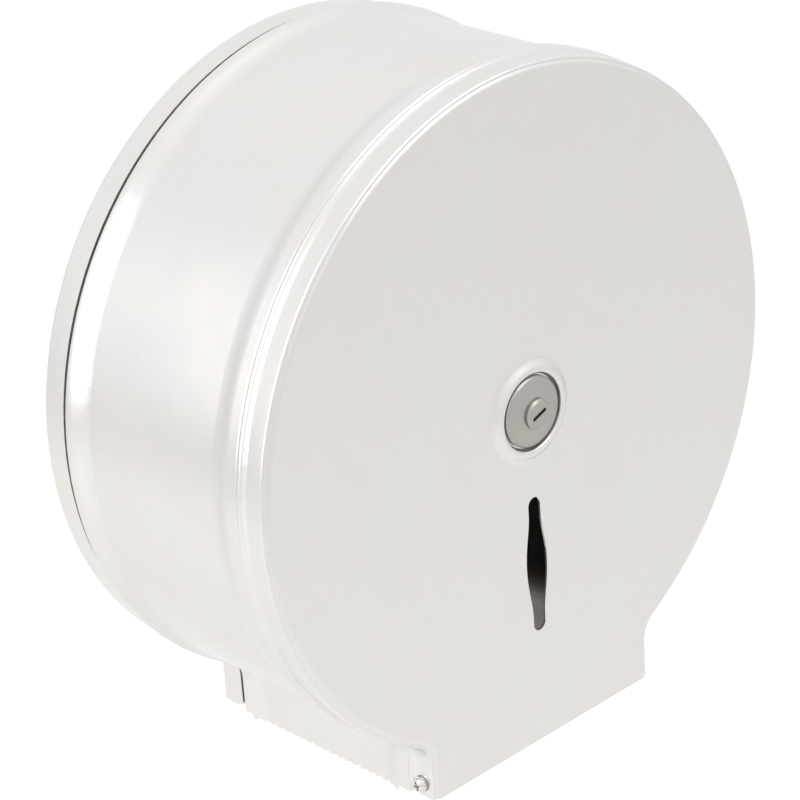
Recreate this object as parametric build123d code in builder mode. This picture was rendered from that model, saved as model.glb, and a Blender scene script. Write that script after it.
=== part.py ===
from build123d import *

import os
from math import atan2, cos, degrees, hypot, radians, sin, sqrt, tan

# A jumbo toilet roll dispenser of satin stainless steel, fixed to a wall.
# The back plate carries the barrel shell and the spindle. The front cover swings down on
# two screws at the paper mouth, and its lock turns a cam behind the end of the spindle.
#
# Frame: millimetres, +Z up, the front looks along -Y, the wall is the plane Y = 0, and the
# origin is where the drum's axis meets the wall. A depth is counted from the wall forwards.

# ---------------------------------------------------------------- driving dimensions

# Outline of the drum with its paper mouth, seen from the front
drum_radius = 134.0
mouth_width = 122.6
mouth_height = 15.7  # straight sides of the mouth, from the neck down to the lower edge
neck_radius = 11.3  # hollow corner where the drum runs into the mouth

# Sheet metal
sheet = 0.8
body_depth = 121.6  # wall to the face of the cover
panel_lap = 12.0  # width of a pan's bent rim that belongs to its flat panel

# Back plate
pan_inset = 0.4  # of its flange, behind the cover's outline
flange_depth = 11.9
flange_bend = 2.5
flange_corner = 3.0
wall_hole_spacing = 140.0
wall_hole_radius = 3.25

# Barrel shell: a low waist between two crests that stand proud of the outline
rim_clearance = 0.7  # between the back plate's flange and the shell inside it
rear_gap = 1.6  # open seam between the edge of that flange and the shell's step
shell_flange_width = 9.0
shell_flange_bend = 1.5
waist_inset = 1.4
crest_rise = 1.1
rear_crest_length = 5.8
rear_fall_length = 6.0
front_rise_length = 7.0
front_crest_length = 6.9
crest_bend = 8.0
flare_bend = 12.0
rear_step_length = 1.0
joggle_length = 0.3
step_bend = 1.2
step_foot_bend = 0.4
seam_gap = 0.3  # between the front crest's end and the cover

# Toothed tear edges on the lower edge of both mouth walls
tooth_pitch = 4.2
tooth_depth = 1.0
tooth_drop = 2.9  # tooth tips below the cover's lower edge
teeth_start = 19.4
teeth_run_in = 1.2  # slope of the edge before the first tooth and after the last

# Front cover
skirt_depth = 12.4
skirt_crest_length = 0.8
skirt_crest_bend = 2.0
skirt_flare_length = 2.4  # from the skirt's rear edge, level with the shell's crest, to its plain band
skirt_flare_bend = 3.5
edge_depth = 3.4  # of the cover's formed edge, from its face back to the plain skirt
shoulder_width = 1.6 * sheet
shoulder_drop = 1.25 * sheet  # of the edge's outer shoulder, behind the face
bevel_width = 1.25 * sheet
skirt_clearance = 0.5  # between the skirt and the shell that it goes over
hem_width = 100.0
hem_height = 8.0
slot_length = 57.3
slot_end_width = 6.4
slot_belly_width = 13.0  # where the two straight flanks of the belly would meet
slot_belly_length = 38.0
slot_belly_bend = 60.0
slot_neck_bend = 40.0
slot_drop = 64.9  # from the drum's axis down to the middle of the slot

# Raised ring round the lock
ring_foot_radius = 20.5
ring_crest_outer = 17.4
ring_crest_inner = 15.6
ring_height = 2.2
seat_radius = 14.9
seat_sink = 0.5  # the lock's seat lies this far behind the cover's face

# Hinge screws of the cover
hinge_margin = 0.1  # between the bush flanges and the cover's formed edge
hinge_screw_radius = 2.0
lap_edge = 2.0  # of the shell's lap under the skirt, in front of the screws
hinge_head_radius = 3.3
hinge_head_height = 2.2
hinge_screw_length = 6.4
hinge_running_fit = 0.05
hinge_play = 0.1
bush_radius = 3.0
bush_flange_radius = 3.7
bush_flange_thickness = 0.3
bush_stand = 0.4  # of the bushes' outer ends, proud of the skirt
nut_width = 7.0
nut_thickness = 3.2
recess_length = 3.6
recess_width = 0.8
recess_depth = 1.2
head_edge = 0.9

# Spindle and core sleeve
spindle_radius = 19.0
spindle_wall = 1.0
spindle_flange_radius = 40.0
spindle_flange_thickness = 2.0
collar_radius = 22.5
collar_depth = 11.5
spindle_rivet_ring_radius = 31.0
spindle_rivet_count = 4
thrust_washer_radius = 26.0
thrust_washer_thickness = 0.8
sleeve_running_fit = 0.06
sleeve_wall = 3.0
sleeve_end_play = 0.3
sleeve_flange_radius = 34.0
sleeve_flange_thickness = 2.0
rib_count = 6
rib_width = 2.5
rib_height = 1.5
rib_run_in = 4.0

# End cap of the spindle, with the slot that the lock's cam goes through
cap_setback = 13.9  # behind the face of the cover
cap_thickness = 1.5
cap_radius = 23.5
cap_skirt_depth = 14.0
cap_skirt_wall = 1.5
catch_slot_length = 27.0
catch_slot_height = 10.5

# Lock
case_radius = 14.1
case_face_height = 1.9  # in front of the cover's face
case_edge = 0.7
nose_foot_radius = 12.4
nose_top_radius = 7.0
nose_height = 1.6
plug_height = 1.7
plug_head_radius = 5.95
plug_radius = 5.0
plug_running_fit = 0.05
plug_edge = 0.8
barrel_radius = 9.0
barrel_length = 10.0
barrel_hole_clearance = 0.2
barrel_flat_width = 16.4
lock_washer_radius = 12.5
lock_washer_thickness = 0.8
lock_nut_width = 22.0
lock_nut_thickness = 4.0
clip_thickness = 0.8
clip_radius = 7.5
clip_groove_radius = 4.0
clip_gap = 5.0
tail_radius = 4.8
cam_length = 24.0
cam_height = 8.5
cam_thickness = 2.0
cam_gap = 0.5  # between the cam and the back of the end cap
cam_square = 5.6
cam_screw_radius = 1.5
cam_screw_length = 8.0
cam_head_radius = 3.6
cam_head_height = 2.2
cam_washer_radius = 4.5
cam_washer_thickness = 0.6
keyway_length = 7.6
keyway_width = 1.5
keyway_depth = 5.0
keyway_angle = 20.0

# Rivets
rivet_radius = 1.6
rivet_head_radius = 3.4
rivet_head_height = 1.3
rivet_arc_count = 8
rivet_arc_start = -35.0
rivet_arc_range = 250.0
rivet_gap = 0.2  # between the heads and the bend of the shell's flange
rivet_lift = 9.0  # of the lowest pair, above the lower edge
spindle_rivet_radius = 2.4
spindle_rivet_head_radius = 4.6
spindle_rivet_head_height = 1.6

# ---------------------------------------------------------------- places that follow

mouth_half = mouth_width / 2
neck_x = mouth_half + neck_radius
neck_z = -sqrt((drum_radius + neck_radius) ** 2 - neck_x**2)
neck_angle = degrees(atan2(-neck_z, neck_x))
mouth_low = neck_z - mouth_height

skirt_rear = body_depth - skirt_depth
shell_inset = pan_inset + sheet + rim_clearance
rivet_inset = shell_inset + shell_flange_bend + rivet_gap + rivet_head_radius
lap_inset = sheet + skirt_clearance
rear_step_start = flange_depth + rear_gap
rear_step_end = rear_step_start + rear_step_length
rear_crest_end = flange_depth + rear_crest_length
waist_start = rear_crest_end + rear_fall_length
crest_start = skirt_rear - front_crest_length
waist_end = crest_start - front_rise_length
crest_end = skirt_rear - seam_gap
joggle_end = crest_end + joggle_length
tooth_tip = mouth_low - tooth_drop
tooth_root = tooth_tip + tooth_depth

hinge_depth = body_depth - edge_depth - bush_flange_radius - hinge_margin
hinge_lift = hinge_depth - skirt_rear  # so the cover's round corners swing within their place
hinge_height = mouth_low + hinge_lift
lap_end = hinge_depth + hinge_screw_radius + lap_edge
lap_wall_outer = mouth_half - lap_inset
lap_wall_inner = lap_wall_outer - sheet
teeth_end = crest_start - teeth_run_in

cap_front = body_depth - cap_setback
collar_seat = sheet + spindle_flange_thickness
washer_front = collar_depth + thrust_washer_thickness
sleeve_rear = washer_front + sleeve_end_play
cap_rear = cap_front - cap_thickness
sleeve_front = cap_rear - sleeve_end_play
sleeve_bore = spindle_radius + sleeve_running_fit
sleeve_radius = sleeve_bore + sleeve_wall
spindle_bore = spindle_radius - spindle_wall

seat_front = body_depth - seat_sink
seat_back = seat_front - sheet
case_front = body_depth + case_face_height
nose_front = case_front + nose_height
plug_front = nose_front + plug_height
washer_back = seat_back - lock_washer_thickness
nut_back = washer_back - lock_nut_thickness
barrel_rear = seat_front - barrel_length
clip_back = barrel_rear - clip_thickness
cam_front = cap_rear - cam_gap
cam_back = cam_front - cam_thickness
cam_washer_back = cam_back - cam_washer_thickness
cam_head_back = cam_washer_back - cam_head_height
plug_bore = plug_radius + plug_running_fit
head_bore = plug_head_radius + plug_running_fit

# Views to draw in: from the front, turned round the drum's axis as (radius, depth), and
# from the side as (depth, height)
turned = Plane(origin=(0, 0, 0), x_dir=(1, 0, 0), z_dir=(0, 0, -1))
side_view = Plane(origin=(0, 0, 0), x_dir=(0, -1, 0), z_dir=(-1, 0, 0))


def at_depth(depth):
    """The plane parallel to the wall at this depth, seen from the front."""
    return Plane.XZ.offset(depth)


def rim_section(low):
    """The plane across the left mouth wall at height low, as (inset, depth)."""
    return Plane(origin=(-mouth_half, 0, low), x_dir=(1, 0, 0), z_dir=(0, 0, -1))


def outline(inset, low, closed=False):
    """Edge of the drum and its mouth, this far inside the outline, down to height low."""
    half = mouth_half - inset
    Line((-half, low), (-half, neck_z))
    CenterArc((-neck_x, neck_z), neck_radius + inset, 0, neck_angle)
    CenterArc((0, 0), drum_radius - inset, 180 + neck_angle, -180 - 2 * neck_angle)
    CenterArc((neck_x, neck_z), neck_radius + inset, 180 - neck_angle, neck_angle)
    Line((half, neck_z), (half, low))
    if closed:
        Line((half, low), (-half, low))


def beside(points, gap):
    """The run of points moved by gap to its right, with mitred corners."""
    ways = [(b[0] - a[0], b[1] - a[1]) for a, b in zip(points, points[1:])]
    rights = [(dy / hypot(dx, dy), -dx / hypot(dx, dy)) for dx, dy in ways]
    moved = []
    for point, before, after in zip(points, [rights[0], *rights], [*rights, rights[-1]]):
        share = gap / (1 + before[0] * after[0] + before[1] * after[1])
        moved.append((point[0] + share * (before[0] + after[0]), point[1] + share * (before[1] + after[1])))
    return moved


def bent_strip(points, bends):
    """Cut edge of a sheet bent along points, with its thickness on their right side."""
    far = beside(points, sheet)
    far_bends = []
    for a, b, c, bend in zip(points, points[1:], points[2:], bends):
        turn = (b[0] - a[0]) * (c[1] - b[1]) - (b[1] - a[1]) * (c[0] - b[0])
        far_bends.append(bend + sheet if turn > 0 else bend - sheet)
    FilletPolyline(*points, radius=bends)
    FilletPolyline(*far, radius=far_bends)
    Line(points[0], far[0])
    Line(points[-1], far[-1])


def rivet_spots():
    """Rivets of the shell's rear flange: along the drum, and one low on each mouth wall."""
    with PolarLocations(
        drum_radius - rivet_inset, rivet_arc_count, rivet_arc_start, rivet_arc_range, endpoint=True
    ) as drum:
        spots = [(place.position.X, place.position.Y) for place in drum.local_locations]
    low_spot = (mouth_half - rivet_inset, mouth_low + rivet_lift)
    return [*spots, low_spot, (-low_spot[0], low_spot[1])]


rivet_places = rivet_spots()


def finish(part, name):
    part.label = name
    export_step(part, f"parts/{name}.step")


os.makedirs("parts", exist_ok=True)

# ---------------------------------------------------------------- housing

# Back plate: flat panel with a flange bent forward round the outline, open at the mouth
with BuildPart() as back_plate:
    with BuildLine(Plane.XZ):
        outline(0, mouth_low)
    with BuildSketch(rim_section(mouth_low)):
        with BuildLine():
            bent_strip([(panel_lap, 0), (pan_inset, 0), (pan_inset, flange_depth)], [flange_bend])
        make_face()
    sweep()
    with BuildSketch(at_depth(0)):
        with BuildLine():
            outline(panel_lap - sheet, mouth_low, closed=True)
        make_face()
        with GridLocations(wall_hole_spacing, wall_hole_spacing, 2, 2):
            Circle(wall_hole_radius, mode=Mode.SUBTRACT)
    extrude(amount=sheet)
    with BuildSketch(at_depth(0)):
        with Locations(*rivet_places):
            Circle(rivet_radius)
        with PolarLocations(spindle_rivet_ring_radius, spindle_rivet_count, 45):
            Circle(spindle_rivet_radius)
    extrude(amount=sheet, mode=Mode.SUBTRACT)
    with BuildSketch(side_view):
        with Locations((flange_depth, mouth_low)):
            Rectangle(flange_corner, flange_corner, align=(Align.MAX, Align.MIN))
        with Locations((flange_depth - flange_corner, mouth_low + flange_corner)):
            Circle(flange_corner, mode=Mode.SUBTRACT)
    extrude(amount=mouth_width, both=True, mode=Mode.SUBTRACT)
finish(back_plate.part, "back_plate")

# Barrel shell: rear flange, waist between two flares, joggled lap under the cover
with BuildPart() as body_shell:
    with BuildLine(Plane.XZ):
        outline(0, tooth_tip)
    with BuildSketch(rim_section(tooth_tip)):
        with BuildLine():
            bent_strip(
                [
                    (shell_inset + shell_flange_width, sheet),
                    (shell_inset, sheet),
                    (shell_inset, rear_step_start),
                    (-crest_rise, rear_step_end),
                    (-crest_rise, rear_crest_end),
                    (waist_inset, waist_start),
                    (waist_inset, waist_end),
                    (-crest_rise, crest_start),
                    (-crest_rise, crest_end),
                    (lap_inset, joggle_end),
                    (lap_inset, lap_end),
                ],
                [
                    shell_flange_bend,
                    step_foot_bend,
                    step_bend,
                    crest_bend,
                    flare_bend,
                    flare_bend,
                    crest_bend,
                    step_bend,
                    step_foot_bend,
                ],
            )
        make_face()
    sweep()
    # Lower edge of both mouth walls, with its row of teeth
    tooth_count = round((teeth_end - teeth_start) / tooth_pitch)
    pitch = (teeth_end - teeth_start) / tooth_count
    edge = [(-sheet, mouth_low), (teeth_start - teeth_run_in, mouth_low), (teeth_start, tooth_tip)]
    for tooth in range(tooth_count):
        edge.append((teeth_start + (tooth + 0.5) * pitch, tooth_root))
        edge.append((teeth_start + (tooth + 1) * pitch, tooth_tip))
    edge += [(crest_start, mouth_low), (body_depth, mouth_low)]
    with BuildSketch(side_view):
        Polygon(*edge, (body_depth, 2 * tooth_tip), (-sheet, 2 * tooth_tip), align=None)
    extrude(amount=mouth_width, both=True, mode=Mode.SUBTRACT)
    # Holes for the hinge screws, and a round end to the lap in front of and below them
    with BuildSketch(side_view):
        with Locations((hinge_depth, hinge_height)):
            Rectangle(lap_end - hinge_depth, hinge_lift, align=(Align.MIN, Align.MAX))
            Circle(hinge_lift, mode=Mode.SUBTRACT)
            Circle(hinge_screw_radius)
    extrude(amount=mouth_width, both=True, mode=Mode.SUBTRACT)
    with BuildSketch(at_depth(sheet)):
        with Locations(*rivet_places):
            Circle(rivet_radius)
    extrude(amount=sheet, mode=Mode.SUBTRACT)
finish(body_shell.part, "body_shell")

# Rivets that join the shell's rear flange to the back plate, flush with the wall
with BuildPart() as shell_rivets:
    with BuildSketch(at_depth(0)):
        with Locations(*rivet_places):
            Circle(rivet_radius)
    extrude(amount=2 * sheet)
    with BuildSketch(at_depth(2 * sheet)):
        with Locations(*rivet_places):
            Circle(rivet_head_radius)
    extrude(amount=rivet_head_height)
    fillet(
        shell_rivets.faces().sort_by(Axis.Y)[: len(rivet_places)].edges(),
        rivet_head_height * head_edge,
    )
finish(shell_rivets.part, "shell_rivets")

# Spindle flange with the collar that holds the spindle
with BuildPart() as spindle_flange:
    with BuildSketch(turned):
        Polygon(
            (spindle_radius, sheet),
            (spindle_flange_radius, sheet),
            (spindle_flange_radius, collar_seat),
            (collar_radius, collar_seat),
            (collar_radius, collar_depth),
            (spindle_radius, collar_depth),
            align=None,
        )
    revolve(axis=Axis.Y)
    with BuildSketch(at_depth(sheet)):
        with PolarLocations(spindle_rivet_ring_radius, spindle_rivet_count, 45):
            Circle(spindle_rivet_radius)
    extrude(amount=spindle_flange_thickness, mode=Mode.SUBTRACT)
finish(spindle_flange.part, "spindle_flange")

with BuildPart() as spindle_rivets:
    with BuildSketch(at_depth(0)):
        with PolarLocations(spindle_rivet_ring_radius, spindle_rivet_count, 45):
            Circle(spindle_rivet_radius)
    extrude(amount=collar_seat)
    with BuildSketch(at_depth(collar_seat)):
        with PolarLocations(spindle_rivet_ring_radius, spindle_rivet_count, 45):
            Circle(spindle_rivet_head_radius)
    extrude(amount=spindle_rivet_head_height)
    fillet(
        spindle_rivets.faces().sort_by(Axis.Y)[:spindle_rivet_count].edges(),
        spindle_rivet_head_height * head_edge,
    )
finish(spindle_rivets.part, "spindle_rivets")

with BuildPart() as spindle_tube:
    with BuildSketch(at_depth(sheet)):
        Circle(spindle_radius)
        Circle(spindle_bore, mode=Mode.SUBTRACT)
    extrude(amount=cap_rear - sheet)
finish(spindle_tube.part, "spindle_tube")

with BuildPart() as thrust_washer:
    with BuildSketch(at_depth(collar_depth)):
        Circle(thrust_washer_radius)
        Circle(spindle_radius, mode=Mode.SUBTRACT)
    extrude(amount=thrust_washer_thickness)
finish(thrust_washer.part, "thrust_washer")

# Ribbed sleeve that the roll's core sits on
with BuildPart() as core_sleeve:
    with BuildSketch(at_depth(sleeve_rear)):
        Circle(sleeve_flange_radius)
    extrude(amount=sleeve_flange_thickness)
    fillet(core_sleeve.edges().sort_by(Axis.Y)[0], sleeve_flange_thickness / 4)
    with BuildSketch(at_depth(sleeve_rear)):
        Circle(sleeve_radius)
        with PolarLocations(sleeve_radius + rib_height / 2, rib_count):
            Rectangle(rib_height * 2, rib_width)
    extrude(amount=sleeve_front - sleeve_rear - rib_run_in)
    with BuildSketch(at_depth(sleeve_rear)):
        Circle(sleeve_radius)
    extrude(amount=sleeve_front - sleeve_rear)
    with BuildSketch(at_depth(sleeve_rear)):
        Circle(sleeve_bore)
    extrude(amount=sleeve_front - sleeve_rear, mode=Mode.SUBTRACT)
finish(core_sleeve.part, "core_sleeve")

# End cap pressed into the spindle: keeps the sleeve on, and its slot catches the lock's cam
with BuildPart() as spindle_cap:
    cap_skirt_bore = spindle_bore - cap_skirt_wall
    with BuildSketch(turned):
        Polygon(
            (0, cap_front),
            (cap_radius, cap_front),
            (cap_radius, cap_rear),
            (spindle_bore, cap_rear),
            (spindle_bore, cap_rear - cap_skirt_depth),
            (cap_skirt_bore, cap_rear - cap_skirt_depth),
            (cap_skirt_bore, cap_rear),
            (0, cap_rear),
            align=None,
        )
    revolve(axis=Axis.Y)
    with BuildSketch(at_depth(cap_rear)):
        SlotOverall(catch_slot_length, catch_slot_height)
    extrude(amount=cap_thickness, mode=Mode.SUBTRACT)
finish(spindle_cap.part, "spindle_cap")

# Hinge screws, from outside through the cover's corners into nuts inside the mouth walls
screw_outer = mouth_half + bush_stand + hinge_play
with BuildPart() as hinge_screws:
    with BuildSketch(side_view.offset(screw_outer)):
        with Locations((hinge_depth, hinge_height)):
            Circle(hinge_head_radius)
    extrude(amount=hinge_head_height)
    fillet(hinge_screws.edges().sort_by(Axis.X)[0], hinge_head_height * head_edge)
    with BuildSketch(side_view.offset(screw_outer)):
        with Locations((hinge_depth, hinge_height)):
            Circle(hinge_screw_radius)
    extrude(amount=-hinge_screw_length)
    with BuildSketch(side_view.offset(screw_outer + hinge_head_height)):
        with Locations(Location((hinge_depth, hinge_height), keyway_angle)):
            Rectangle(recess_length, recess_width)
            Rectangle(recess_width, recess_length)
    extrude(amount=-recess_depth, mode=Mode.SUBTRACT)
    mirror(about=Plane.YZ)
finish(hinge_screws.part, "hinge_screws")

with BuildPart() as hinge_nuts:
    with BuildSketch(side_view.offset(lap_wall_inner)):
        with Locations((hinge_depth, hinge_height)):
            RegularPolygon(nut_width / 2, 6, major_radius=False)
            Circle(hinge_screw_radius, mode=Mode.SUBTRACT)
    extrude(amount=-nut_thickness)
    mirror(about=Plane.YZ)
finish(hinge_nuts.part, "hinge_nuts")

# ---------------------------------------------------------------- cover

# Front cover: pressed pan with a raised ring round the lock and a sight slot
with BuildPart() as front_cover:
    with BuildLine(Plane.XZ):
        outline(0, mouth_low)
    with BuildSketch(rim_section(mouth_low)):
        with BuildLine():
            bent_strip(
                [
                    (-crest_rise, skirt_rear),
                    (-crest_rise, skirt_rear + skirt_crest_length),
                    (0, skirt_rear + skirt_flare_length),
                    (0, body_depth - shoulder_drop),
                    (shoulder_width, body_depth - shoulder_drop),
                    (shoulder_width + bevel_width, body_depth),
                    (panel_lap, body_depth),
                ],
                [skirt_crest_bend, skirt_flare_bend, 1.25 * sheet, 0.375 * sheet, 3.25 * sheet],
            )
        make_face()
    sweep()
    with BuildSketch(at_depth(body_depth)):
        with BuildLine():
            outline(panel_lap - sheet, mouth_low, closed=True)
        make_face()
        Circle(ring_foot_radius + sheet, mode=Mode.SUBTRACT)
        with BuildLine():
            end_half = slot_end_width / 2
            end_height = slot_length / 2 - end_half
            right = [(end_half, end_height), (end_half, slot_belly_length / 2)]
            right += [(slot_belly_width / 2, 0)]
            right += [(x, -y) for x, y in right[1::-1]]
            right = [(x, y - slot_drop) for x, y in right]
            left = [(-x, y) for x, y in right]
            bends = [slot_neck_bend, slot_belly_bend, slot_neck_bend]
            FilletPolyline(*right, radius=bends)
            FilletPolyline(*left, radius=bends)
            ThreePointArc(right[0], (0, slot_length / 2 - slot_drop), left[0])
            ThreePointArc(right[-1], (0, -slot_length / 2 - slot_drop), left[-1])
        make_face(mode=Mode.SUBTRACT)
    extrude(amount=-sheet)
    with BuildSketch(turned):
        with BuildLine():
            bent_strip(
                [
                    (barrel_radius + barrel_hole_clearance, seat_front),
                    (seat_radius, seat_front),
                    (ring_crest_inner, body_depth + ring_height),
                    (ring_crest_outer, body_depth + ring_height),
                    (ring_foot_radius, body_depth),
                    (ring_foot_radius + panel_lap / 4, body_depth),
                ],
                [sheet / 2, 1.25 * sheet, 3 * sheet, 4 * sheet],
            )
        make_face()
    revolve(axis=Axis.Y)
    # Hem folded inside the lower edge
    with BuildSketch(at_depth(body_depth - sheet)):
        with Locations((0, mouth_low)):
            Rectangle(hem_width, hem_height, align=(Align.CENTER, Align.MIN))
    extrude(amount=-sheet)
    with BuildSketch(side_view):
        with Locations((hinge_depth, hinge_height)):
            Circle(bush_radius)
    extrude(amount=mouth_width, both=True, mode=Mode.SUBTRACT)
    # Lower rear corners of the skirt, round about the hinge screws
    with BuildSketch(side_view):
        with Locations((hinge_depth, hinge_height)):
            Rectangle(hinge_lift, hinge_lift, align=(Align.MAX, Align.MAX))
            Circle(hinge_lift, mode=Mode.SUBTRACT)
    extrude(amount=mouth_width, both=True, mode=Mode.SUBTRACT)
finish(front_cover.part, "front_cover")

# Flanged bushes pressed into the cover's corners, which hold the screw heads off its flared rear edge
with BuildPart() as hinge_bushes:
    with BuildSketch(side_view.offset(mouth_half + bush_stand)):
        with Locations((hinge_depth, hinge_height)):
            Circle(bush_radius)
    extrude(amount=-bush_stand - sheet)
    with BuildSketch(side_view.offset(mouth_half - sheet)):
        with Locations((hinge_depth, hinge_height)):
            Circle(bush_flange_radius)
    extrude(amount=-bush_flange_thickness)
    with BuildSketch(side_view.offset(mouth_half + bush_stand)):
        with Locations((hinge_depth, hinge_height)):
            Circle(hinge_screw_radius + hinge_running_fit)
    extrude(amount=-bush_stand - sheet - bush_flange_thickness, mode=Mode.SUBTRACT)
    mirror(about=Plane.YZ)
finish(hinge_bushes.part, "hinge_bushes")

# Lock case: disc in the raised ring, low nose round the plug, barrel with two flats
with BuildPart() as lock_case:
    with BuildSketch(turned):
        Polygon(
            (plug_bore, barrel_rear),
            (barrel_radius, barrel_rear),
            (barrel_radius, seat_front),
            (case_radius, seat_front),
            (case_radius, case_front - case_edge),
            (case_radius - case_edge, case_front),
            (nose_foot_radius, case_front),
            (nose_top_radius, nose_front),
            (head_bore, nose_front),
            (head_bore, case_front),
            (plug_bore, case_front),
            align=None,
        )
    revolve(axis=Axis.Y)
    with BuildSketch(at_depth(barrel_rear)):
        with Locations((barrel_flat_width / 2, 0)):
            Rectangle(barrel_radius, 2 * barrel_radius, align=(Align.MIN, Align.CENTER))
        with Locations((-barrel_flat_width / 2, 0)):
            Rectangle(barrel_radius, 2 * barrel_radius, align=(Align.MAX, Align.CENTER))
    extrude(amount=seat_front - barrel_rear, mode=Mode.SUBTRACT)
finish(lock_case.part, "lock_case")

with BuildPart() as lock_washer:
    with BuildSketch(at_depth(washer_back)):
        Circle(lock_washer_radius)
        Circle(barrel_radius, mode=Mode.SUBTRACT)
    extrude(amount=lock_washer_thickness)
finish(lock_washer.part, "lock_washer")

with BuildPart() as lock_nut:
    with BuildSketch(at_depth(nut_back)):
        RegularPolygon(lock_nut_width / 2, 6, major_radius=False)
        Circle(barrel_radius, mode=Mode.SUBTRACT)
    extrude(amount=lock_nut_thickness)
finish(lock_nut.part, "lock_nut")

# ---------------------------------------------------------------- lock plug and cam

# Lock plug, turned by the key: head with its keyway, clip groove, square for the cam
with BuildPart() as lock_plug:
    with BuildSketch(turned):
        Polygon(
            (0, plug_front),
            (plug_head_radius - plug_edge, plug_front),
            (plug_head_radius, plug_front - plug_edge),
            (plug_head_radius, case_front),
            (plug_radius, case_front),
            (plug_radius, barrel_rear),
            (clip_groove_radius, barrel_rear),
            (clip_groove_radius, clip_back),
            (tail_radius, clip_back),
            (tail_radius, cam_front),
            (0, cam_front),
            align=None,
        )
    revolve(axis=Axis.Y)
    with BuildSketch(at_depth(cam_front)):
        Rectangle(cam_square, cam_square)
    extrude(amount=-cam_thickness)
    with BuildSketch(at_depth(plug_front)):
        with Locations(Rotation(0, 0, keyway_angle)):
            SlotOverall(keyway_length, keyway_width)
    extrude(amount=-keyway_depth, mode=Mode.SUBTRACT)
    with BuildSketch(at_depth(cam_back)):
        Circle(cam_screw_radius)
    extrude(amount=cam_screw_length, mode=Mode.SUBTRACT)
finish(lock_plug.part, "lock_plug")

with BuildPart() as plug_clip:
    with BuildSketch(at_depth(clip_back)):
        Circle(clip_radius)
        Circle(clip_groove_radius, mode=Mode.SUBTRACT)
        Rectangle(clip_radius, clip_gap, align=(Align.MIN, Align.CENTER), mode=Mode.SUBTRACT)
    extrude(amount=clip_thickness)
finish(plug_clip.part, "plug_clip")

with BuildPart() as lock_cam:
    with BuildSketch(at_depth(cam_back)):
        SlotOverall(cam_length, cam_height)
        Rectangle(cam_square, cam_square, mode=Mode.SUBTRACT)
    extrude(amount=cam_thickness)
finish(lock_cam.part, "lock_cam")

with BuildPart() as cam_washer:
    with BuildSketch(at_depth(cam_washer_back)):
        Circle(cam_washer_radius)
        Circle(cam_screw_radius, mode=Mode.SUBTRACT)
    extrude(amount=cam_washer_thickness)
finish(cam_washer.part, "cam_washer")

with BuildPart() as cam_screw:
    with BuildSketch(at_depth(cam_head_back)):
        Circle(cam_head_radius)
    extrude(amount=cam_head_height)
    fillet(cam_screw.edges().sort_by(Axis.Y)[-1], cam_head_height / 2)
    with BuildSketch(at_depth(cam_head_back)):
        Circle(cam_screw_radius)
    extrude(amount=cam_head_height + cam_washer_thickness + cam_screw_length)
    with BuildSketch(at_depth(cam_head_back)):
        Rectangle(recess_length, recess_width)
        Rectangle(recess_width, recess_length)
    extrude(amount=recess_depth, mode=Mode.SUBTRACT)
finish(cam_screw.part, "cam_screw")
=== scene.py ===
# %% [markdown]
# # A jumbo toilet roll dispenser in satin stainless steel
# The dispenser is a drum of thin stainless sheet that hangs on a wall: a back pan, a barrel with a low waist,
# and a pressed front cover with a lock and a sight slot. Its shapes come ready from the CAD model, so this
# lesson is about finishes and light: how to make thin brushed sheet, cast lock parts and moulded plastic look
# real in a bright studio, with nothing but node-based materials.

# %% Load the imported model
import math

import bpy
from mathutils import Matrix, Vector


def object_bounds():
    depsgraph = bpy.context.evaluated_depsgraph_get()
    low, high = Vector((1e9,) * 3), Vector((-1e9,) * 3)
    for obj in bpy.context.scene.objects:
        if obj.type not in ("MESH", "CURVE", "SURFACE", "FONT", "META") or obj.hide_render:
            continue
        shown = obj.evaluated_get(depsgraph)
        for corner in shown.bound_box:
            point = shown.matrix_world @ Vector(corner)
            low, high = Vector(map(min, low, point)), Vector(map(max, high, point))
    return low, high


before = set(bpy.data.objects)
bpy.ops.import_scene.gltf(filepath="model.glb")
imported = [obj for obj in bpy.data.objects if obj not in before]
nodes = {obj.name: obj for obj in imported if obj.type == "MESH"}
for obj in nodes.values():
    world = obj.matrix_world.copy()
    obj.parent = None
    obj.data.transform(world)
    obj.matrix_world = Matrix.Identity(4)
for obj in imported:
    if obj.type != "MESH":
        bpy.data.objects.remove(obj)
cad_low, cad_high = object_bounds()
print("loaded", len(nodes), "nodes, size in mm:", [round(1000 * s, 1) for s in cad_high - cad_low])

# %% [markdown]
# ## Units and colours
# Blender works in metres and in linear light, while sheet metal is drawn in millimetres and colours are
# picked as sRGB hex values. Two tiny helpers translate, so that every number below can be read as the
# maker of the part would write it.

# %% Millimetres and hex colours
MM = 0.001


def linear(hex_colour):
    """An sRGB hex colour as the linear RGBA that shader sockets take."""
    channels = [int(hex_colour[i : i + 2], 16) / 255 for i in (1, 3, 5)]
    return [c / 12.92 if c <= 0.04045 else ((c + 0.055) / 1.055) ** 2.4 for c in channels] + [1.0]


print("mid grey is", [round(c, 3) for c in linear("#808080")[:3]])

# %% [markdown]
# ## One helper for all shader nodes
# A material is a small graph. This helper adds one node of any kind, sets its properties and sockets, and
# links its inputs, so that a finish reads as a list of what happens to the surface. A second one gives the
# empty material to start from.

# %% Add a shader node


def add(tree, kind, settings=(), values=(), links=()):
    """Adds a node: settings are its properties, values its socket values, links its inputs from other sockets."""
    node = tree.nodes.new(kind)
    for name, value in dict(settings).items():
        setattr(node, name, value)
    for socket, value in dict(values).items():
        node.inputs[socket].default_value = value
    for socket, source in dict(links).items():
        tree.links.new(source, node.inputs[socket])
    return node


def blank_material(name):
    """A new node material with nothing in it, and its tree."""
    material = bpy.data.materials.new(name)
    material.use_nodes = True
    material.node_tree.nodes.clear()
    return material, material.node_tree


print("helpers ready")

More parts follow.
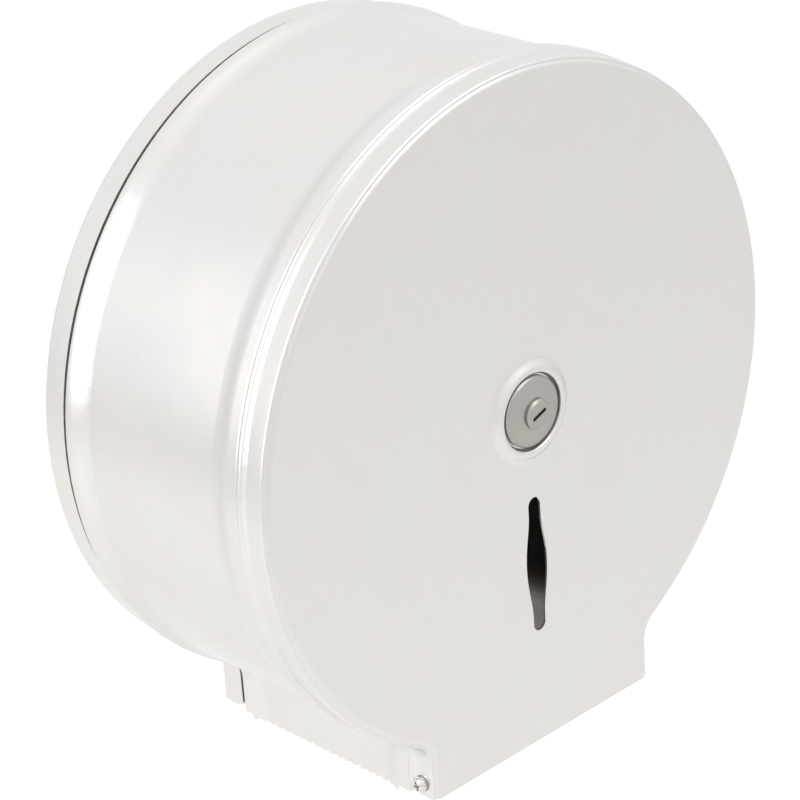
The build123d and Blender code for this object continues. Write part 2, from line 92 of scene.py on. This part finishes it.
# %% [markdown]
# ## Scratches of the satin finish
# Drum, cover and back pan are 0.8 mm AISI 304 sheet with a satin finish: an abrasive belt leaves fine
# parallel scratches over a faint matt grain. On the barrel they run round the drum, because its strip was
# brushed along its length before it was rolled, and on a flat panel they run straight down. A noise that is
# stretched along the brushing draws them. On the barrel it is laid out by the angle round the axis, as if
# the strip were flat again. Real scratches are about 0.1 mm wide, too fine for the picture, so they are
# drawn about four times as coarse.

# %% Belt scratches and grain
STREAK_WIDTH = 0.4
STREAK_LENGTH = 9.0
GRAIN_SIZE = 1.1
DRUM_RADIUS = 134.0


def brushed_skin(tree, place, round_drum):
    """The belt's scratches and the matt grain as one height, which lies near 1."""
    axes = add(tree, "ShaderNodeSeparateXYZ", links={"Vector": place})
    x, y, z = (axes.outputs[a] for a in "XYZ")
    if round_drum:
        angle = add(tree, "ShaderNodeMath", {"operation": "ARCTAN2"}, links={0: x, 1: z}).outputs[0]
        along = add(tree, "ShaderNodeMath", {"operation": "MULTIPLY"}, {1: DRUM_RADIUS * MM}, {0: angle}).outputs[0]
        across = y
    else:
        along, across = z, x
    flat = add(tree, "ShaderNodeCombineXYZ", links={"X": along, "Y": across, "Z": y}).outputs[0]
    streak_scale = [1 / (length * MM) for length in (STREAK_LENGTH, STREAK_WIDTH, STREAK_LENGTH)]
    streak_place = add(tree, "ShaderNodeMapping", values={"Scale": streak_scale}, links={"Vector": flat}).outputs[0]
    streaks = add(tree, "ShaderNodeTexNoise", values={"Scale": 1.0, "Detail": 2.0},
                  links={"Vector": streak_place}).outputs["Fac"]
    grain = add(tree, "ShaderNodeTexNoise", values={"Scale": 1 / (GRAIN_SIZE * MM), "Detail": 2.0},
                links={"Vector": place}).outputs["Fac"]
    return add(tree, "ShaderNodeMath", {"operation": "ADD"}, links={0: streaks, 1: grain}).outputs[0]


print("scratches of", STREAK_WIDTH, "by", STREAK_LENGTH, "mm")

# %% [markdown]
# ## The dull side of the sheet, darkened with painted shade
# Only the outside was brushed. The inner face keeps the duller finish of the rolling mill, and its colour is
# also painted far darker than that finish, as painted shade for the little light inside the drum. That is why
# the drum looks dark through the sight slot. A second material would need the faces sorted by hand. Instead the
# shader compares each face's direction with the way out from the middle of the drum. It takes both in the
# piece's own coordinates, so that the sides don't change when the cover swings open.

# %% Inside or outside
DRUM_MIDDLE = (0, -0.06, 0)


def faces_inside(tree, place, own_normal):
    """1 on the side of the sheet that faces the middle of the drum, and 0 on the outside."""
    outward = add(tree, "ShaderNodeVectorMath", {"operation": "SUBTRACT"}, {1: DRUM_MIDDLE}, {0: place}).outputs[0]
    facing = add(tree, "ShaderNodeVectorMath", {"operation": "DOT_PRODUCT"},
                 links={0: own_normal, 1: outward}).outputs["Value"]
    return add(tree, "ShaderNodeMath", {"operation": "LESS_THAN"}, {1: 0.0}, {0: facing}).outputs[0]


print("middle of the drum at", DRUM_MIDDLE)

# %% [markdown]
# ## Satin stainless sheet
# The eye sees a soft reflection that smears across the scratches and stays sharper along them. That is the
# shader's anisotropy, with its tangent turned along the brushing. It is matched, stronger on the
# barrel than on the panels. Faint warmer patches a few centimetres wide, also a little rougher, keep the
# large plain faces from looking computed.

# %% Satin stainless
STEEL_BRIGHT = "#D8D7D6"
STEEL_DEEP = "#D4D3D1"
STEEL_WARM = "#D7D4D1"
# Inner side colour: the mill finish, painted much darker as shade for the inside of the drum.
MILL_FINISH_AND_INSIDE_SHADE = "#85807A"
MILL_ROUGHER_BY = 0.4
BLOTCH_SIZE = 35.0
SKIN_LOW, SKIN_HIGH = 0.7, 1.3
BLOTCH_LOW, BLOTCH_HIGH = 0.45, 0.7
NOISE_LOW, NOISE_HIGH = 0.3, 0.7
SATIN_SMOOTHEST, SATIN_ROUGHEST = 0.28, 0.34
SCRATCH_DEPTH = 0.02
BARREL_SMEAR, PANEL_SMEAR = 0.5, 0.2
QUARTER_TURN = 0.25


def satin_steel(name, round_drum):
    """Brushed stainless sheet, with its grain round the drum's axis, or straight down a flat panel."""
    material, tree = blank_material(name)
    coordinates = add(tree, "ShaderNodeTexCoord").outputs
    place = coordinates["Object"]
    skin = brushed_skin(tree, place, round_drum)
    blotch = add(tree, "ShaderNodeTexNoise", values={"Scale": 1 / (BLOTCH_SIZE * MM), "Detail": 2.0},
                 links={"Vector": place}).outputs["Fac"]
    shade = add(tree, "ShaderNodeMapRange", values={"From Min": SKIN_LOW, "From Max": SKIN_HIGH},
                links={"Value": skin}).outputs[0]
    colour = add(tree, "ShaderNodeMix", {"data_type": "RGBA"}, links={"Factor": shade})
    colour.inputs["A"].default_value = linear(STEEL_DEEP)
    colour.inputs["B"].default_value = linear(STEEL_BRIGHT)
    warmth = add(tree, "ShaderNodeMapRange", values={"From Min": BLOTCH_LOW, "From Max": BLOTCH_HIGH},
                 links={"Value": blotch}).outputs[0]
    tint = add(tree, "ShaderNodeMix", {"data_type": "RGBA"},
               links={"Factor": warmth, "A": colour.outputs["Result"]})
    tint.inputs["B"].default_value = linear(STEEL_WARM)
    # The inner faces get the mill finish colour darkened as painted shade, together with a rougher surface.
    inside = faces_inside(tree, place, coordinates["Normal"])
    dull_and_shaded = add(tree, "ShaderNodeMix", {"data_type": "RGBA"},
               links={"Factor": inside, "A": tint.outputs["Result"]})
    dull_and_shaded.inputs["B"].default_value = linear(MILL_FINISH_AND_INSIDE_SHADE)
    rough = add(tree, "ShaderNodeMapRange",
                values={"From Min": NOISE_LOW, "From Max": NOISE_HIGH,
                        "To Min": SATIN_SMOOTHEST, "To Max": SATIN_ROUGHEST},
                links={"Value": blotch}).outputs[0]
    rougher_inside = add(tree, "ShaderNodeMath", {"operation": "MULTIPLY_ADD"}, {1: MILL_ROUGHER_BY},
                         {0: inside, 2: rough}).outputs[0]
    bump = add(tree, "ShaderNodeBump", values={"Strength": 0.12, "Distance": SCRATCH_DEPTH * MM},
               links={"Height": skin}).outputs[0]
    brushed_way = add(tree, "ShaderNodeTangent", {"direction_type": "RADIAL", "axis": "Y" if round_drum else "X"})
    shader = add(tree, "ShaderNodeBsdfPrincipled",
                 values={"Metallic": 1.0, "Anisotropic": BARREL_SMEAR if round_drum else PANEL_SMEAR,
                         "Anisotropic Rotation": QUARTER_TURN},
                 links={"Base Color": dull_and_shaded.outputs["Result"], "Roughness": rougher_inside, "Normal": bump,
                        "Tangent": brushed_way.outputs[0]})
    add(tree, "ShaderNodeOutputMaterial", links={"Surface": shader.outputs[0]})
    return material


barrel_steel = satin_steel("satin_stainless_round_the_drum", True)
panel_steel = satin_steel("satin_stainless_panel", False)
print("made", barrel_steel.name, "and", panel_steel.name)

# %% [markdown]
# ## Small metal parts
# Screws, rivets, washers and the clip are bright stainless, turned or cold formed. The lock case and plug
# are zinc castings with a matt nickel plate: a greyer, softer metal with a fine pebble from the mould. One
# recipe serves all three, because they differ only in colour, roughness and the size of that pebble.

# %% Cast and turned metal
PEBBLE_SMOOTHER, PEBBLE_ROUGHER = 0.85, 1.15


def small_metal(name, colour, roughness, pebble_size, pebble_height):
    """A plain metal with a fine pebbled skin of this grain size and height, in millimetres."""
    material, tree = blank_material(name)
    place = add(tree, "ShaderNodeTexCoord").outputs["Object"]
    pebble = add(tree, "ShaderNodeTexNoise", values={"Scale": 1 / (pebble_size * MM), "Detail": 4.0},
                 links={"Vector": place}).outputs["Fac"]
    rough = add(tree, "ShaderNodeMapRange",
                values={"From Min": NOISE_LOW, "From Max": NOISE_HIGH,
                        "To Min": roughness * PEBBLE_SMOOTHER, "To Max": roughness * PEBBLE_ROUGHER},
                links={"Value": pebble}).outputs[0]
    bump = add(tree, "ShaderNodeBump", values={"Strength": 0.3, "Distance": pebble_height * MM},
               links={"Height": pebble}).outputs[0]
    shader = add(tree, "ShaderNodeBsdfPrincipled", values={"Base Color": linear(colour), "Metallic": 1.0},
                 links={"Roughness": rough, "Normal": bump})
    add(tree, "ShaderNodeOutputMaterial", links={"Surface": shader.outputs[0]})
    return material


screw_steel = small_metal("bright_stainless_turned", "#D2D1CF", roughness=0.2, pebble_size=0.6, pebble_height=0.01)
rivet_steel = small_metal("stainless_rivet", "#CBC9C5", roughness=0.3, pebble_size=0.8, pebble_height=0.02)
lock_nickel = small_metal("matt_nickel_plated_zinc", "#A8A6A1", roughness=0.42, pebble_size=0.5, pebble_height=0.03)
print("made", screw_steel.name, rivet_steel.name, lock_nickel.name)

# %% [markdown]
# ## Moulded plastics inside
# The roll's core turns on a grey ABS sleeve, held off the flange by a black nylon washer. Both are moulded,
# with a light texture from the tool. A little noise in roughness and height is enough for pieces that are
# only seen with the cover open.

# %% ABS and nylon
PLASTIC_IOR = 1.53
PLASTIC_ROUGH_SPREAD = 0.06
TEXTURE_HEIGHT = 0.03


def moulded_plastic(name, colour, roughness, texture_size):
    """A moulded plastic with a fine texture of this size in millimetres."""
    material, tree = blank_material(name)
    place = add(tree, "ShaderNodeTexCoord").outputs["Object"]
    skin = add(tree, "ShaderNodeTexNoise", values={"Scale": 1 / (texture_size * MM), "Detail": 3.0},
               links={"Vector": place}).outputs["Fac"]
    rough = add(tree, "ShaderNodeMapRange",
                values={"To Min": roughness - PLASTIC_ROUGH_SPREAD, "To Max": roughness + PLASTIC_ROUGH_SPREAD},
                links={"Value": skin}).outputs[0]
    bump = add(tree, "ShaderNodeBump", values={"Strength": 0.25, "Distance": TEXTURE_HEIGHT * MM},
               links={"Height": skin}).outputs[0]
    shader = add(tree, "ShaderNodeBsdfPrincipled", values={"Base Color": linear(colour), "IOR": PLASTIC_IOR},
                 links={"Roughness": rough, "Normal": bump})
    add(tree, "ShaderNodeOutputMaterial", links={"Surface": shader.outputs[0]})
    return material


grey_abs = moulded_plastic("abs_grey_moulded", "#A9AAAC", roughness=0.45, texture_size=0.4)
black_nylon = moulded_plastic("nylon_black_moulded", "#2A2A2B", roughness=0.5, texture_size=0.5)
print("made", grey_abs.name, black_nylon.name)

# %% [markdown]
# ## Each node gets its finish
# The CAD model comes as one mesh for each real piece, so a finish can simply be handed to a list of pieces.
# Shell, spindle tube and flange were brushed round the axis, and the flat pressings straight down.

# %% Assign the materials
FINISHES = {
    barrel_steel: ["body_shell", "spindle_tube", "spindle_flange"],
    panel_steel: ["front_cover", "back_plate", "spindle_cap"],
    screw_steel: ["hinge_screws", "hinge_nuts", "hinge_bushes", "lock_washer", "plug_clip", "lock_cam",
                  "cam_washer", "cam_screw"],
    rivet_steel: ["shell_rivets", "spindle_rivets"],
    lock_nickel: ["lock_case", "lock_nut", "lock_plug"],
    grey_abs: ["core_sleeve"],
    black_nylon: ["thrust_washer"],
}
for material, names in FINISHES.items():
    for name in names:
        nodes[name].data.materials.clear()
        nodes[name].data.materials.append(material)
print("finished", sum(len(names) for names in FINISHES.values()), "nodes")

# %% [markdown]
# ## Floor
# Satin metal shows what stands round it, so floor and light are built like a product table. The dispenser
# hangs on a wall in use, so the floor lies well below it. It is wide and matt, so that the steel sees an
# even surface from below.

# %% Pale floor
FLOOR_SIZE = 14
FLOOR_DROP = 0.40
floor_z = cad_low.z - FLOOR_DROP
bpy.ops.mesh.primitive_plane_add(size=FLOOR_SIZE, location=(0, 0, floor_z))
floor = bpy.context.object
floor.name = "studio_floor"
floor_paint, tree = blank_material("pale_matt_floor")
shader = add(tree, "ShaderNodeBsdfPrincipled", values={"Base Color": linear("#ECEBEA"), "Roughness": 0.9})
add(tree, "ShaderNodeOutputMaterial", links={"Surface": shader.outputs[0]})
floor.data.materials.append(floor_paint)
print("floor at", round(floor_z, 3), "m")

# %% [markdown]
# ## Room light
# A pale room all round gives the steel most of its tone. It glows a little brighter overhead than at eye
# level, as a room with a lit ceiling does. A gradient over the height does that without any lamp.

# %% Pale room
ROOM_AT_EYE_LEVEL = 1.05
ROOM_OVERHEAD = 1.25
world = bpy.data.worlds.new("pale_studio_room")
bpy.context.scene.world = world
world.use_nodes = True
room = world.node_tree
room.nodes.clear()
direction = add(room, "ShaderNodeTexCoord").outputs["Generated"]
height = add(room, "ShaderNodeSeparateXYZ", links={"Vector": direction}).outputs["Z"]
glow = add(room, "ShaderNodeMapRange", values={"To Min": ROOM_AT_EYE_LEVEL, "To Max": ROOM_OVERHEAD},
           links={"Value": height}).outputs[0]
walls = add(room, "ShaderNodeBackground", values={"Color": linear("#FFFFFF")}, links={"Strength": glow})
add(room, "ShaderNodeOutputWorld", links={"Surface": walls.outputs[0]})
print("room glows from", ROOM_AT_EYE_LEVEL, "to", ROOM_OVERHEAD)

# %% [markdown]
# ## Soft boxes
# A wide soft box on the left draws the bright zone on the barrel, and a smaller one high on the right
# catches the rolled edges. Each is given by its direction from the drum and by its radiance, because that
# is what a reflection shows. The helper works out the power that such a panel needs.

# %% Two soft boxes


def soft_box(name, azimuth, elevation, distance, width, height, radiance):
    """A rectangular light that faces the drum. Azimuth 0 is straight in front, and 90 on the right."""
    light = bpy.data.lights.new(name, "AREA")
    light.shape = "RECTANGLE"
    light.size, light.size_y = width, height
    light.energy = radiance * math.pi * width * height
    a, e = math.radians(azimuth), math.radians(elevation)
    back = Vector((math.sin(a) * math.cos(e), -math.cos(a) * math.cos(e), math.sin(e)))
    lamp = bpy.data.objects.new(name, light)
    lamp.location = Vector(DRUM_MIDDLE) + back * distance
    lamp.rotation_mode = "QUATERNION"
    lamp.rotation_quaternion = back.to_track_quat("Z", "Y")
    bpy.context.scene.collection.objects.link(lamp)
    return lamp


boxes = [
    soft_box("left_soft_box", azimuth=-101, elevation=21, distance=1.6, width=0.9, height=1.5, radiance=2.2),
    soft_box("top_soft_box", azimuth=20, elevation=60, distance=1.1, width=0.7, height=0.7, radiance=2.5),
]
print("soft boxes of", [round(box.data.energy, 1) for box in boxes], "W")

# %% [markdown]
# ## Camera
# The photograph looks down on the drum from the front left with a long lens, slightly rolled. The angles
# say where the camera stands as seen from its aim, and its three axes are built from them.

# %% Camera
YAW, PITCH, ROLL = (math.radians(a) for a in (-43.07, 25.06, -3.92))
DISTANCE = 1.1981
FOCAL_LENGTH = 138.59
SENSOR_WIDTH = 36
AIM = Vector((-0.0024, -0.054, -0.0142))
back = Vector((math.sin(YAW) * math.cos(PITCH), -math.cos(YAW) * math.cos(PITCH), math.sin(PITCH)))
level = (-back).cross(Vector((0, 0, 1))).normalized()
upright = back.cross(level)
right = math.cos(ROLL) * level + math.sin(ROLL) * upright
up = math.cos(ROLL) * upright - math.sin(ROLL) * level
camera = bpy.data.objects.new("camera", bpy.data.cameras.new("camera"))
camera.data.lens = FOCAL_LENGTH
camera.data.sensor_width = SENSOR_WIDTH
turned = Matrix((right, up, back)).transposed().to_4x4()
camera.matrix_world = Matrix.Translation(AIM + back * DISTANCE) @ turned
bpy.context.scene.collection.objects.link(camera)
bpy.context.scene.camera = camera
bpy.context.scene.view_settings.view_transform = "Standard"
print("camera at", [round(v, 3) for v in camera.location])
